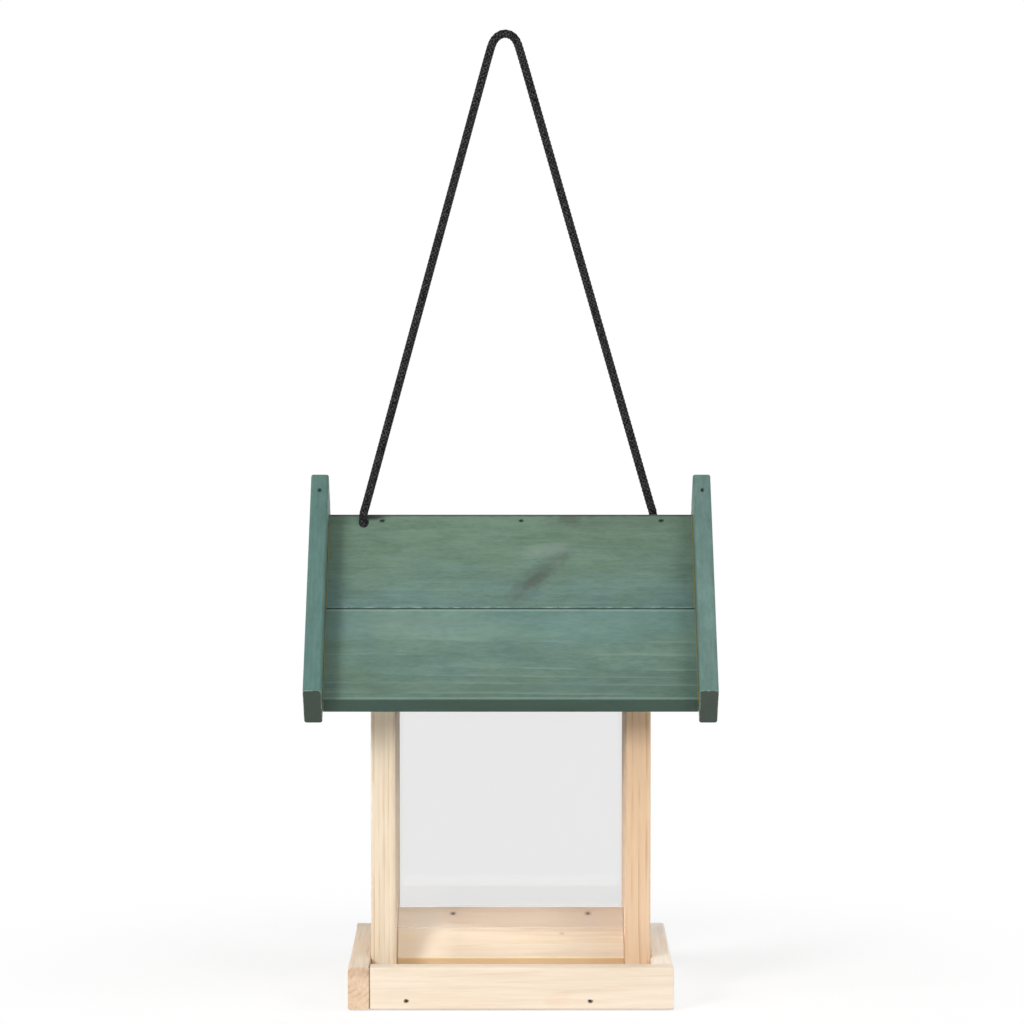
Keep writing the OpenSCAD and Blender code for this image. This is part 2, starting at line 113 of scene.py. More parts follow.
class Shader:
    """A node tree under construction. Inputs are numbers, colours or the sockets of other nodes.

    An input is given by its name, with _ for a blank, or as i and its number.
    """

    def __init__(self, tree):
        self.tree = tree
        tree.nodes.clear()

    def add(self, kind, out=0, given=None, **inputs):
        node = self.tree.nodes.new(kind)
        for key, value in (given or {}).items():
            setattr(node, key, value)
        for key, value in inputs.items():
            by_number = key[0] == "i" and key[1:].isdigit()
            socket = node.inputs[int(key[1:]) if by_number else key.replace("_", " ")]
            if isinstance(value, bpy.types.NodeSocket):
                self.tree.links.new(value, socket)
            else:
                socket.default_value = value
        return node.outputs[out] if node.outputs else None

    def math(self, operation, a, b=0.0, c=0.0, clamp=False):
        given = {"operation": operation, "use_clamp": clamp}
        return self.add("ShaderNodeMath", given=given, i0=a, i1=b, i2=c)

    def vector(self, operation, a, b=(0, 0, 0), out=0):
        return self.add("ShaderNodeVectorMath", out, {"operation": operation}, i0=a, i1=b)

    def millimetres(self):
        """The place on the piece, in millimetres."""
        place = self.tree.nodes.new("ShaderNodeTexCoord").outputs["Object"]
        return self.vector("MULTIPLY", place, (1000, 1000, 1000))

    def noise(self, place, scale, detail=2.0, roughness=0.5, out=0):
        return self.add(
            "ShaderNodeTexNoise", out, Vector=place, Scale=scale, Detail=detail, Roughness=roughness
        )

    def between(self, value, low, high, to_low=0.0, to_high=1.0, smooth=True):
        """A value from to_low to to_high, as another one goes from low to high."""
        return self.add(
            "ShaderNodeMapRange",
            given={"interpolation_type": "SMOOTHSTEP" if smooth else "LINEAR"},
            i0=value, i1=low, i2=high, i3=to_low, i4=to_high,
        )

    def mix(self, amount, a, b, blend="MIX"):
        node = self.tree.nodes.new("ShaderNodeMix")
        node.data_type = "RGBA"
        node.blend_type = blend
        for index, value in ((0, amount), (6, a), (7, b)):
            if isinstance(value, bpy.types.NodeSocket):
                self.tree.links.new(value, node.inputs[index])
            elif index and len(value) == 3:
                node.inputs[index].default_value = (*value, 1)
            else:
                node.inputs[index].default_value = value
        return node.outputs[2]

    def ramp(self, value, stops):
        """Grey levels at given places of a value between 0 and 1."""
        node = self.tree.nodes.new("ShaderNodeValToRGB")
        self.tree.links.new(value, node.inputs[0])
        points = node.color_ramp.elements
        while len(points) < len(stops):
            points.new(0.5)
        for point, (place, level) in zip(points, stops):
            point.position = place
            point.color = (level, level, level, 1)
        return node.outputs[0]


def linear(code):
    """A colour from its six-digit screen code."""
    parts = [int(code[k:k + 2], 16) / 255 for k in (0, 2, 4)]
    return tuple(p / 12.92 if p < 0.04045 else ((p + 0.055) / 1.055) ** 2.4 for p in parts)


def painted(name):
    """A new material, and its node tree under construction."""
    material = bpy.data.materials.new(name)
    material.use_nodes = True
    return material, Shader(material.node_tree)


# The world is white to the eye and in gloss and glass, and a soft even light on everything else.
WHITE = (1, 1, 1, 1)
world = bpy.data.worlds.new("studio")
bpy.context.scene.world = world
world.use_nodes = True
s = Shader(world.node_tree)


def seen_ray(s):
    """1 for a ray that shows the background: to the eye, in gloss and through glass."""
    path = s.tree.nodes.new("ShaderNodeLightPath").outputs
    seen = s.math("MAXIMUM", path["Is Glossy Ray"], path["Is Transmission Ray"])
    seen = s.math("MAXIMUM", path["Is Camera Ray"], seen)
    return s.math("MULTIPLY", seen, s.math("LESS_THAN", path["Diffuse Depth"], 0.5))


s.add(
    "ShaderNodeOutputWorld",
    Surface=s.add(
        "ShaderNodeMixShader",
        i0=seen_ray(s),
        i1=s.add("ShaderNodeBackground", Color=(0.97, 0.985, 1, 1), Strength=0.16),
        i2=s.add("ShaderNodeBackground", Color=WHITE, Strength=1.0),
    ),
)

# The floor is a pale sweep, white to the eye and darkened only where the object shades it. Plain
# white covers all of the lamps' own light from WHITE_FROM on, and all but SHARE of it near the
# object. LAMPLIT is what the lamps give a bare spot.
FLOOR_SIZE, FLOOR_DROP = 12, 0.0006
floor_mesh = bpy.data.meshes.new("floor")
corners = ((-1, -1), (1, -1), (1, 1), (-1, 1))
floor_mesh.from_pydata(
    [(x * FLOOR_SIZE / 2, y * FLOOR_SIZE / 2, -FLOOR_DROP) for x, y in corners], [], [(0, 1, 2, 3)]
)
floor = placed("floor", floor_mesh)
floor_paint, s = painted("floor_paint")
place = s.tree.nodes.new("ShaderNodeTexCoord").outputs["Object"]
plain = s.add(
    "ShaderNodeBsdfDiffuse",
    Color=s.mix(s.noise(place, 60), (0.86, 0.86, 0.86), (0.90, 0.90, 0.90)),
)
LAMPLIT, SHARE, SHARE_TO, WHITE_FROM = 0.74, 0.4, 0.12, 0.42
near = s.between(s.vector("LENGTH", place, out=1), SHARE_TO, WHITE_FROM, SHARE, 0.0)

# Painted reflection: to mirrored rays only, the floor behind a line a short way in front of the
# feeder glows brighter, so that it shows as a pale band low in the panes.
REFLECTION_EDGE, SOFT, REFLECTION_LIFT = -0.353, 0.004, 0.48
s.add("ShaderNodeSeparateXYZ", Vector=place)
reflected_band = s.between(s.tree.nodes[-1].outputs[1], REFLECTION_EDGE - SOFT, REFLECTION_EDGE + SOFT)
bounces = s.tree.nodes.new("ShaderNodeLightPath").outputs["Glossy Depth"]
mirrored = s.math("GREATER_THAN", bounces, 0.5)
painted_reflection_glow = s.math("ADD", 1.0, s.math("MULTIPLY", s.math("MULTIPLY", reflected_band, mirrored), REFLECTION_LIFT))
s.add(
    "ShaderNodeOutputMaterial",
    Surface=s.add(
        "ShaderNodeMixShader",
        i0=seen_ray(s),
        i1=plain,
        i2=s.add(
            "ShaderNodeMixShader",
            i0=near,
            i1=s.add("ShaderNodeEmission", Color=WHITE, Strength=painted_reflection_glow),
            i2=s.add(
                "ShaderNodeAddShader",
                i0=plain,
                i1=s.add("ShaderNodeEmission", Color=WHITE, Strength=1 - LAMPLIT),
            ),
        ),
    ),
)
floor_mesh.materials.append(floor_paint)

# ---------------------------------------------------------------- cord
# Black braided polypropylene, 4.4 mm, with twelve yarns plaited round a core. It runs up out of
# the roof, over its hook and down again, drawn straight by the weight of the house.
CORD_D, CORD_STEP = 0.0044, 0.00042
LOOP_ROUTE = [
    (-83.5, -4.5, 256), (-83.8, -4.5, 261), (-83.8, -4.5, 269.5), (-83.4, -4.5, 272.5),
    (-82.3, -4.4, 276), (-13.4, -0.7, 527.5), (-12.1, -0.6, 532), (-11.1, -0.5, 535.6),
    (-9.8, -0.5, 538.8), (-7.7, -0.4, 541.3), (-5, -0.2, 542.8), (-2.2, -0.1, 543), (0.5, 0, 542),
    (2.7, 0.1, 539.9), (4.2, 0.2, 536.7), (5.4, 0.3, 532.8), (7, 0.4, 527.5), (79.6, 4.4, 276),
    (80.8, 4.5, 272.5), (81.2, 4.5, 269.5), (81.2, 4.5, 261), (81, 4.5, 256),
]
RIGHT_TAIL_ROUTE = [
    (81, 4.5, 256), (81, 4.5, 245), (81, 4.5, 236), (80.6, 4.5, 233.2), (79.3, 4.5, 230.7),
    (77.3, 4.5, 228.7), (74.8, 4.5, 227.4), (72, 4.5, 227), (64.5, 4.5, 227),
]
LEFT_TAIL_ROUTE = [
    (-83.5, -4.5, 256), (-83.5, -4.5, 245), (-83.5, -4.5, 236), (-83.1, -4.5, 233.2),
    (-81.8, -4.5, 230.7), (-79.8, -4.5, 228.7), (-77.3, -4.5, 227.4), (-74.5, -4.5, 227),
    (-64.5, -4.5, 227),
]


def even_route(points, step, blur=0.004):
    """Points at even steps along a route in millimetres, with its corners rounded off."""
    points = np.array(points, float) / 1000
    at = np.r_[0, np.cumsum(np.linalg.norm(np.diff(points, axis=0), axis=1))]
    spots = np.linspace(0, at[-1], int(round(at[-1] / step)) + 1)
    even = np.stack([np.interp(spots, at, points[:, k]) for k in range(3)], 1)
    half = max(1, int(blur / step / 2))
    before = 2 * even[0] - even[half:0:-1]
    after = 2 * even[-1] - even[-2:-half - 2:-1]
    long = np.concatenate([before, even, after])
    weights = np.hanning(2 * half + 3)[1:-1]
    weights /= weights.sum()
    return np.stack([np.convolve(long[:, k], weights, "valid") for k in range(3)], 1)


def route_frames(route):
    """The heading at each point of a route, and two directions square to it that don't twist."""
    heading = np.gradient(route, axis=0)
    heading /= np.linalg.norm(heading, axis=1)[:, None]
    side = np.zeros_like(heading)
    side[0] = np.cross(heading[0], (0.31, 0.93, 0.2))
    for i in range(len(route)):
        last = side[max(i - 1, 0)]
        side[i] = last - heading[i] * (last @ heading[i])
        side[i] /= np.linalg.norm(side[i])
    return heading, side, np.cross(heading, side)


def tube(start, rings, sides):
    """The faces of a closed tube, for rings of points that follow one another from start."""
    faces = []
    for r in range(rings - 1):
        for k in range(sides):
            a, b = start + r * sides + k, start + r * sides + (k + 1) % sides
            faces.append((a, b, b + sides, a + sides))
    faces.append([start + k for k in reversed(range(sides))])
    faces.append([start + (rings - 1) * sides + k for k in range(sides)])
    return faces


def braid(name, route, diameter=CORD_D, yarns=6, pitch=0.015, end_cap=False):
    """A plaited cord as one mesh: yarns that wind both ways, over and under, round a core.

    Each way has so many yarns, and pitch is the length of one turn. A yarn rises by lift where it
    goes over another, is domed by crown and laps its neighbours a little.
    """
    heading, side, other = route_frames(route)
    along = np.r_[0, np.cumsum(np.linalg.norm(np.diff(route, axis=0), axis=1))]
    lift, crown, lap = diameter * 0.034, diameter * 0.056, 1.02
    radius = diameter / 2 - crown / 2
    slant = math.atan(2 * math.pi * radius / pitch)
    half_width = math.pi * radius / yarns * math.cos(slant) * lap
    across = np.linspace(-1, 1, 5)
    points, faces, marks = [], [], []

    def spot(i, out, angle, ahead=0.0):
        """A point round the route's point i."""
        turned = math.cos(angle) * side[i] + math.sin(angle) * other[i]
        return route[i] + heading[i] * ahead + out * turned

    for way in (1, -1):
        weave = way * lift * np.cos(yarns * 2 * math.pi * along / pitch)
        for k in range(yarns):
            turn = 2 * math.pi * k / yarns + way * 2 * math.pi * along / pitch
            start = len(points)
            for i in range(len(route)):
                for a in across:
                    angle = turn[i] + a * half_width * math.cos(slant) / radius
                    out = radius + weave[i] + crown * math.cos(a * math.pi / 2)
                    points.append(spot(i, out, angle, -way * a * half_width * math.sin(slant)))
                    marks.append((a * 0.5 + 0.5, along[i] * 1000))
            faces += tube(start, len(route), len(across))

    start, sides = len(points), 10
    angles = [2 * math.pi * k / sides for k in range(sides)]
    rings = list(range(0, len(route), 4))
    if rings[-1] != len(route) - 1:
        rings.append(len(route) - 1)
    for i in rings:
        points += [spot(i, radius - lift, angle) for angle in angles]
        marks += [(0, along[i] * 1000)] * sides
    faces += tube(start, len(rings), sides)
    if end_cap:
        # The end is melted to a small rounded button that binds the yarns
        start = len(points)
        button = ((0.9, -0.25), (1.02, -0.05), (1.0, 0.12), (0.8, 0.27), (0.4, 0.36))
        for wide, far in button:
            points += [spot(-1, wide * radius, angle, far * diameter) for angle in angles]
            marks += [(0.5, 0)] * sides
        faces += tube(start, len(button), sides)

    mesh = bpy.data.meshes.new(name)
    mesh.from_pydata(np.array(points).tolist(), [], faces)
    mesh.polygons.foreach_set("use_smooth", [True] * len(mesh.polygons))
    layer = mesh.uv_layers.new(name="yarn")
    index = np.zeros(len(mesh.loops), int)
    mesh.loops.foreach_get("vertex_index", index)
    layer.data.foreach_set("uv", np.array(marks, np.float32)[index].ravel())
    mesh.materials.append(cord_yarn)
    return placed(name, mesh)


# Matt black multifilament yarn: fine filaments along each yarn. Painted highlight and painted
# shade: each yarn is lighter on its crown and darker at its edges, where the yarns dive.
cord_yarn, s = painted("cord_yarn")
yarn = s.add("ShaderNodeUVMap", given={"uv_map": "yarn"})
s.add("ShaderNodeSeparateXYZ", Vector=yarn)
across_yarn, along_yarn = s.tree.nodes[-1].outputs[:2]
# Painted highlight on each yarn's crown and painted shade at its edges, where it dives
crown = s.math("SINE", s.math("MULTIPLY", across_yarn, math.pi))
strand = s.math("ADD", s.math("MULTIPLY", across_yarn, 40), s.math("MULTIPLY", along_yarn, 2.1))
filament = s.math("SINE", strand)
speck = s.noise(s.millimetres(), 1.1, 3)
tone = s.math("MULTIPLY", s.between(crown, 0.3, 1.0), s.between(speck, 0.42, 0.62, 0.15, 1.5))
tone = s.math("MULTIPLY", tone, s.math("ADD", 1.0, s.math("MULTIPLY", filament, 0.25)), clamp=True)
height = s.math("ADD", s.math("MULTIPLY", filament, 0.5), s.math("MULTIPLY", speck, 0.6))
s.add(
    "ShaderNodeOutputMaterial",
    Surface=s.add(
        "ShaderNodeBsdfPrincipled",
        Base_Color=s.mix(tone, linear("020203"), linear("464648")),
        Roughness=s.between(speck, 0.2, 0.8, 0.5, 0.68, False),
        Specular_IOR_Level=0.05,
        Normal=s.add("ShaderNodeBump", Strength=0.5, Distance=0.00008, Height=height),
    ),
)


loop_path = even_route(LOOP_ROUTE, CORD_STEP)
cord_loop = braid("cord_loop_braid", loop_path)
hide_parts("cord_loop")
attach(cord_loop, "house")
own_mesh(cord_loop)


# The knots sit inside the hopper, against the mouths of the anchor holes
KNOT_X, KNOT_Y, KNOT_Z = 64.3, 4.5, 228.5


def knot_route(side):
    """An overhand knot round the line of the anchor hole, and the short end beyond it."""
    opening, size, depth = 0.62, 1.395, 1.805
    turns = []
    for t in np.linspace(opening, 2 * math.pi - opening, 60):
        wide = size * (math.sin(t) + 2 * math.sin(2 * t))
        high = size * (math.cos(t) - 2 * math.cos(2 * t))
        turns.append((5.6 - depth * math.sin(3 * t), wide, high))
    start = [(0.0, 0, -1.5), (1.0, 0.1, -1.0)]
    tail = [(9.2, 0.3, 0.2), (12.0, 0.2, 0.1), (15.2, 0, 0)]
    points = start + turns + tail
    return [(side * (KNOT_X - x), side * (KNOT_Y + y), KNOT_Z + z) for x, y, z in points]


knots = {}
KNOT_CORD_D = 0.0036
for side, word in ((-1, "left"), (1, "right")):
    knot_path = even_route(knot_route(side), 0.0005, 0.003)
    knots[word] = braid(word + "_cord_knot", knot_path, diameter=KNOT_CORD_D, end_cap=True)
    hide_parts("cord_knots")
    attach(knots[word], "house")
for word, route in (("left", LEFT_TAIL_ROUTE), ("right", RIGHT_TAIL_ROUTE)):
    tail_path = even_route(route, CORD_STEP)
    tail = braid(word + "_cord_tail_braid", tail_path)
    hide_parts(word + "_cord_tail")
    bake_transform(tail)


# ---------------------------------------------------------------- wood
# All the wood is planed softwood. Its growth rings are modelled in the solid, as circles round a
# pith that lies off each board, so the faces, edges and end grain of one board agree.
def wood(
    name, grain, face, pith, light, dark, ring=2.4, line=0.4, drift=(0, 0), bend=1.5,
    knots=(), heart_and_shade=None, bruises_and_shade=(), mark="2E241B", stain=None, bands=(), seed=0.0,
):
    """A solid wood material. In millimetres: u runs along the grain, v across, w through.

    pith, drift and bend are the place of the pith in v and w, how it leans and how it sways.
    ring and line are the width of a year's growth and the strength of its dark late wood.
    A knot is (u, v, length, height, turn, push on the rings, darkness), and heartwood (slope,
    edge, softness, tint), whose tint can also carry painted shade; a dark knot can also stand for
    painted shadow. A spot is (x, y, z, reach): a nail's bruise, and on one board also painted
    shadow, and mark is its colour. Stain is (thin, olive, blue, deep, v where it is greenest,
    v where bluest), and a band (axis, place, reach, share, colour).
    """
    material, s = painted(name)
    grain, face = Vector(grain).normalized(), Vector(face).normalized()
    across = grain.cross(face)
    place = s.millimetres()
    normal = s.tree.nodes.new("ShaderNodeTexCoord").outputs["Normal"]
    u = s.vector("DOT_PRODUCT", place, tuple(grain), out=1)
    v = s.vector("DOT_PRODUCT", place, tuple(across), out=1)
    w = s.vector("DOT_PRODUCT", place, tuple(face), out=1)
    local = s.add("ShaderNodeCombineXYZ", X=u, Y=v, Z=w)

    def at(along, over, through=None):
        """The place with each direction scaled, and moved by the board's own seed."""
        scales = (along, over, over if through is None else through)
        moved = (seed * 7.3, seed * 3.1, seed * 5.7)
        return s.vector("ADD", s.vector("MULTIPLY", local, scales), moved)

    def grainy(along, over, detail, roughness=0.5):
        """Noise that is drawn out along the grain."""
        return s.noise(at(along, over), 1, detail, roughness)

    def offset(value, pith_place, lean, wave):
        """The distance to the pith in one direction, which leans and sways along the board."""
        sway = s.math("MULTIPLY", s.math("SUBTRACT", wave, 0.5), 2 * bend)
        lean = s.math("MULTIPLY", u, lean)
        return s.math("SUBTRACT", s.math("ADD", s.math("ADD", value, sway), lean), pith_place)

    def squared(value):
        return s.math("MULTIPLY", value, value)

    s.add("ShaderNodeSeparateXYZ", Vector=s.noise(at(0.010, 0.02), 1, 2, out=1))
    waves = s.tree.nodes[-1].outputs
    far_v = offset(v, pith[0], drift[0], waves[0])
    far_w = offset(w, pith[1], drift[1], waves[1])
    radius = s.math("SQRT", s.math("ADD", squared(far_v), squared(far_w)))
    ragged = s.math("SUBTRACT", grainy(0.25, 0.25, 3), 0.5)
    masks = []
    for knot_u, knot_v, long, high, turn, push, depth in knots:
        du, dv = s.math("SUBTRACT", u, knot_u), s.math("SUBTRACT", v, knot_v)
        c, n = math.cos(turn), math.sin(turn)
        length = s.math("ADD", s.math("MULTIPLY", du, c / long), s.math("MULTIPLY", dv, n / long))
        width = s.math("ADD", s.math("MULTIPLY", du, -n / high), s.math("MULTIPLY", dv, c / high))
        q = s.math("ADD", squared(length), squared(width))
        bulge = s.math("EXPONENT", s.math("MULTIPLY", q, -0.25))
        radius = s.math("ADD", radius, s.math("MULTIPLY", bulge, push))
        mask = s.between(s.math("ADD", q, s.math("MULTIPLY", ragged, 2.2)), -0.3, 1.9, 1.0, 0.0)
        masks.append((s.math("MULTIPLY", mask, abs(depth)), depth))
    uneven = s.math("MULTIPLY", grainy(0.002, 0.05, 1), 1.5)
    phase = s.math("FRACT", s.math("ADD", s.math("DIVIDE", radius, ring), uneven))
    year = [(0.0, 0.0), (0.45, 0.04), (0.78, 0.4), (0.92, 1.0), (0.97, 0.9), (1.0, 0.0)]
    strength = s.between(grainy(0.022, 0.16, 2), 0.38, 0.64, 0.05, 1.0)
    late = s.math("MULTIPLY", s.ramp(phase, year), s.math("MULTIPLY", strength, line))

    # Fibres, short dashes, wider streaks, soft bands of colour and scattered resin canals
    fibre = grainy(0.05, 2.6, 4, 0.62)
    dash = grainy(0.06, 0.95, 3, 0.6)
    streak = grainy(0.018, 0.33, 3, 0.55)
    band = grainy(0.006, 0.045, 2)
    pore = s.between(grainy(0.10, 5.5, 1), 0.66, 0.76)
    facing = s.math("ABSOLUTE", s.vector("DOT_PRODUCT", normal, tuple(grain), out=1))
    end = s.between(facing, 0.75, 0.95)
    saw = s.noise(at(0.0, 0.35, 3.8), 1, 2)
    arris = s.add("ShaderNodeAttribute", 2, {"attribute_name": "arris"})

    def shade(colour, by, low, high, tint):
        """Darkens a colour towards a tint where a noise is low."""
        tint = s.mix(s.between(by, low, high), tint, (1.0, 1.0, 1.0))
        return s.mix(1.0, colour, tint, "MULTIPLY")

    colour = s.mix(late, light, dark)
    if heart_and_shade:
        slope, edge, soft, tint = heart_and_shade
        edge = s.math("ADD", edge, s.math("MULTIPLY", u, slope))
        wavy = s.math("ADD", v, s.math("MULTIPLY", s.math("SUBTRACT", streak, 0.5), 9.0))
        inside = s.between(s.math("SUBTRACT", wavy, edge), -soft, soft, 1.0, 0.0)
        colour = s.mix(inside, colour, tint, "MULTIPLY")
    for by, low, high, tint in (
        (streak, 0.3, 0.7, (0.95, 0.92, 0.89)),
        (band, 0.35, 0.65, (0.97, 0.955, 0.94)),
        (dash, 0.3, 0.65, (0.97, 0.96, 0.95)),
        (fibre, 0.25, 0.7, (0.965, 0.955, 0.95)),
    ):
        colour = shade(colour, by, low, high, tint)
    colour = s.mix(s.math("MULTIPLY", pore, 0.14), colour, dark)

    if stain:
        # The stain soaks into the early wood, stays thin on the hard late wood and is grey on knots
        thin, olive, blue, deep, greenest, bluest = stain
        tint = s.math("DIVIDE", s.math("SUBTRACT", v, greenest), bluest - greenest)
        patch = s.math("SUBTRACT", grainy(0.03, 0.06, 3, 0.6), 0.5)
        tint = s.math("ADD", tint, s.math("MULTIPLY", patch, 2.4), clamp=True)
        paint = s.mix(tint, olive, blue)
        for by, low, high, tint in (
            (grainy(0.02, 0.07, 3), 0.35, 0.6, (0.86, 0.87, 0.87)),
            (grainy(0.07, 0.17, 3), 0.35, 0.62, (0.86, 0.89, 0.88)),
            (grainy(0.12, 0.45, 3), 0.3, 0.6, (0.89, 0.91, 0.91)),
            (grainy(0.26, 1.0, 2), 0.3, 0.6, (0.89, 0.90, 0.90)),
            (fibre, 0.25, 0.7, (0.95, 0.95, 0.95)),
        ):
            paint = shade(paint, by, low, high, tint)
        paint = s.mix(late, paint, thin)
        for mask, depth in masks:
            paint = s.mix(mask, paint, linear("414B44") if depth > 0 else linear("8C9A90"))
        # End grain soaks the stain up nearly black; on down-facing ends this is also painted shade
        paint = s.mix(s.math("MULTIPLY", end, 0.85), paint, deep)
        worn = s.between(grainy(0.12, 0.5, 3), 0.42, 0.62, 0.0, 0.75)
        colour = s.mix(0.97, colour, s.mix(s.math("MULTIPLY", arris, worn), paint, thin))
    else:
        for mask, depth in masks:
            colour = s.mix(mask, colour, linear("8A6648"))
        cut = s.mix(s.between(saw, 0.3, 0.7), (0.78, 0.68, 0.60), (0.88, 0.79, 0.72))
        colour = s.mix(end, colour, s.mix(1.0, colour, cut, "MULTIPLY"))

    # Lines along a joint or an arris, where stain or dust has gathered or worn off, and wide
    # bands that are paler or darker than the rest of the board. Some of them are painted light and
    # painted shade instead, as noted where they are given.
    for axis, place_on, reach, share, tint in bands:
        gap = s.math("ABSOLUTE", s.math("SUBTRACT", {"u": u, "v": v, "w": w}[axis], place_on))
        gap = s.math("ADD", gap, s.math("MULTIPLY", ragged, min(reach, 4)))
        colour = s.mix(s.between(gap, reach * 0.4, reach, share, 0.0), colour, tint)

    # Each nail has bruised the fibres beside its hole, somewhat further along the grain. Spots of
    # painted shadow are drawn the same way.
    spot_stretch = (0.7, 1, 1)
    for x, y, z, reach in bruises_and_shade:
        spot = Vector((x, y, z))
        spot = Vector((spot.dot(grain), spot.dot(across), spot.dot(face))) * Vector(spot_stretch)
        away = s.vector("DISTANCE", s.vector("MULTIPLY", local, spot_stretch), tuple(spot), out=1)
        gap = s.math("ADD", away, s.math("MULTIPLY", ragged, 1.4))
        colour = s.mix(s.between(gap, 0.8, reach, 0.8, 0.0), colour, linear(mark))

    height = s.math("ADD", s.math("MULTIPLY", fibre, 0.8), s.math("MULTIPLY", late, 0.35))
    height = s.math("ADD", height, s.math("MULTIPLY", s.math("MULTIPLY", saw, end), 1.4))
    s.add(
        "ShaderNodeOutputMaterial",
        Surface=s.add(
            "ShaderNodeBsdfPrincipled",
            Base_Color=colour,
            Roughness=s.between(fibre, 0.2, 0.8, 0.56, 0.70, False),
            Specular_IOR_Level=0.25,
            Normal=s.add("ShaderNodeBump", Strength=0.45, Distance=0.00012, Height=height),
        ),
    )
    return material


def finished(obj, name):
    """The object's mesh with its modifiers applied. The object itself goes."""
    bpy.context.view_layer.update()
    shown = obj.evaluated_get(bpy.context.evaluated_depsgraph_get())
    mesh = bpy.data.meshes.new_from_object(shown)
    bpy.data.objects.remove(obj)
    mesh.name = name
    return mesh


def planed(node, material, ease=0.00035):
    """A board: the CAD solid with its cut edges broken by a light bevel, as sandpaper leaves them.

    The bevel is as wide as ease. Facets that are smaller than a board's faces belong to rounded
    edges, which stay as they are.
    """
    source = frame["nodes"][node]
    mesh = source.data.copy()
    work = bmesh.new()
    work.from_mesh(mesh)
    bmesh.ops.remove_doubles(work, verts=work.verts, dist=2e-6)
    bmesh.ops.dissolve_limit(
        work, angle_limit=math.radians(0.6), verts=work.verts, edges=work.edges, delimit=set()
    )
    arris = work.faces.layers.float.new("arris")
    facet_area, corner, crease = 18e-6, math.radians(35), math.radians(34)
    edges = [
        e for e in work.edges
        if len(e.link_faces) == 2 and e.is_convex and e.calc_face_angle() > corner
        and min(f.calc_area() for f in e.link_faces) > facet_area
    ]
    made = bmesh.ops.bevel(
        work, geom=edges, offset=ease, segments=2, profile=0.5, affect="EDGES", clamp_overlap=True
    )
    for f in made["faces"]:
        f[arris] = 1.0
    for f in work.faces:
        f.smooth = True
        f.material_index = 0
    for e in work.edges:
        e.smooth = len(e.link_faces) == 2 and e.calc_face_angle() < crease
    work.to_mesh(mesh)
    work.free()
    mesh.materials.clear()
    mesh.materials.append(material)
    raw = placed(node + "_raw", mesh)
    raw.modifiers.new("shade", "WEIGHTED_NORMAL").keep_sharp = True
    board = placed(node + "_planed", finished(raw, node + "_planed"))
    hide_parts(node)
    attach(board, source["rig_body"])
    return board


X, Y, Z = (1, 0, 0), (0, 1, 0), (0, 0, 1)
PALE, PALE_RING = linear("F5E7D4"), linear("E0C09A")
WARM, WARM_RING = linear("FBEAD5"), linear("DBB48E")

# ---------------------------------------------------------------- tray
# Four planed boards stand on edge round the floor, each covering the end of the next, and are
# nailed to the floor's edge. The front one is flat sawn, with one long cathedral figure.
TRAY_X, TRAY_Y, LEFT_JOINT, NAIL_Z = 90.5, 77.5, -78.5, 5
planed("tray_floor", wood("tray_floor_wood", X, Z, (20, -70), PALE, PALE_RING, ring=2.6, seed=1.3))
planed(
    "tray_front_board",
    wood(
        "tray_front_wood", X, (0, -1, 0), (-4, 51), PALE, PALE_RING, ring=3.1, line=0.30,
        drift=(0.0, -0.03), bend=1.2, seed=2.1,
        bands=[("u", LEFT_JOINT, 0.5, 0.8, linear("6E5440"))],
        bruises_and_shade=[(-58, -TRAY_Y, NAIL_Z, 1.5), (44, -TRAY_Y, NAIL_Z, 1.4)],
    ),
)
planed(
    "tray_back_board",
    wood(
        "tray_back_wood", X, Y, (14, 120), PALE, PALE_RING, ring=3.0, line=0.35, seed=3.4,
        bruises_and_shade=[(-58, TRAY_Y, NAIL_Z, 1.7), (44, TRAY_Y, NAIL_Z, 1.7)],
    ),
)
SIDE_NAILS = ((-38, NAIL_Z), (38, NAIL_Z), (-25, 18), (25, 18))
planed(
    "tray_left_board",
    wood(
        "tray_left_wood", Y, X, (-34, -101), WARM, WARM_RING, ring=2.9, line=0.65, seed=4.2,
        bands=[("w", LEFT_JOINT, 0.5, 0.7, linear("6E5440"))],
        knots=[(-81, -22, 5, 3, 0.4, 0.6, 0.35)],
        bruises_and_shade=[(-TRAY_X, y, z, 1.7) for y, z in SIDE_NAILS],
    ),
)
# The right board is near white: painted light that lifts its top out of the hopper's shade
planed(
    "tray_right_board",
    wood(
        "tray_right_wood", Y, X, (-22, 30), linear("FFF6E8"), linear("EDD5BA"), ring=2.8, line=0.4,
        seed=5.9, bruises_and_shade=[(TRAY_X, y, z, 1.7) for y, z in SIDE_NAILS],
    ),
)

# ---------------------------------------------------------------- side planks
# Upright planks with straight grain and a saw groove near each edge for the panes. The left one
# is yellowish with close rings, the right one more orange, with one dark line that wanders.
planed(
    "left_side_plank",
    wood(
        "left_side_plank_wood", Z, X, (-15, -172), linear("F0E1CA"), linear("CBA878"),
        ring=2.9, line=0.65, bend=1.0, seed=6.3,
    ),
)
planed(
    "right_side_plank",
    wood(
        "right_side_plank_wood", Z, X, (20, 178), linear("E9CAA8"), linear("B98458"),
        ring=3.6, line=0.7, bend=1.8, drift=(0.0, 0.006), seed=7.7,
        bands=[("u", 12, 90, 0.2, linear("F6DFC6"))],
    ),
)
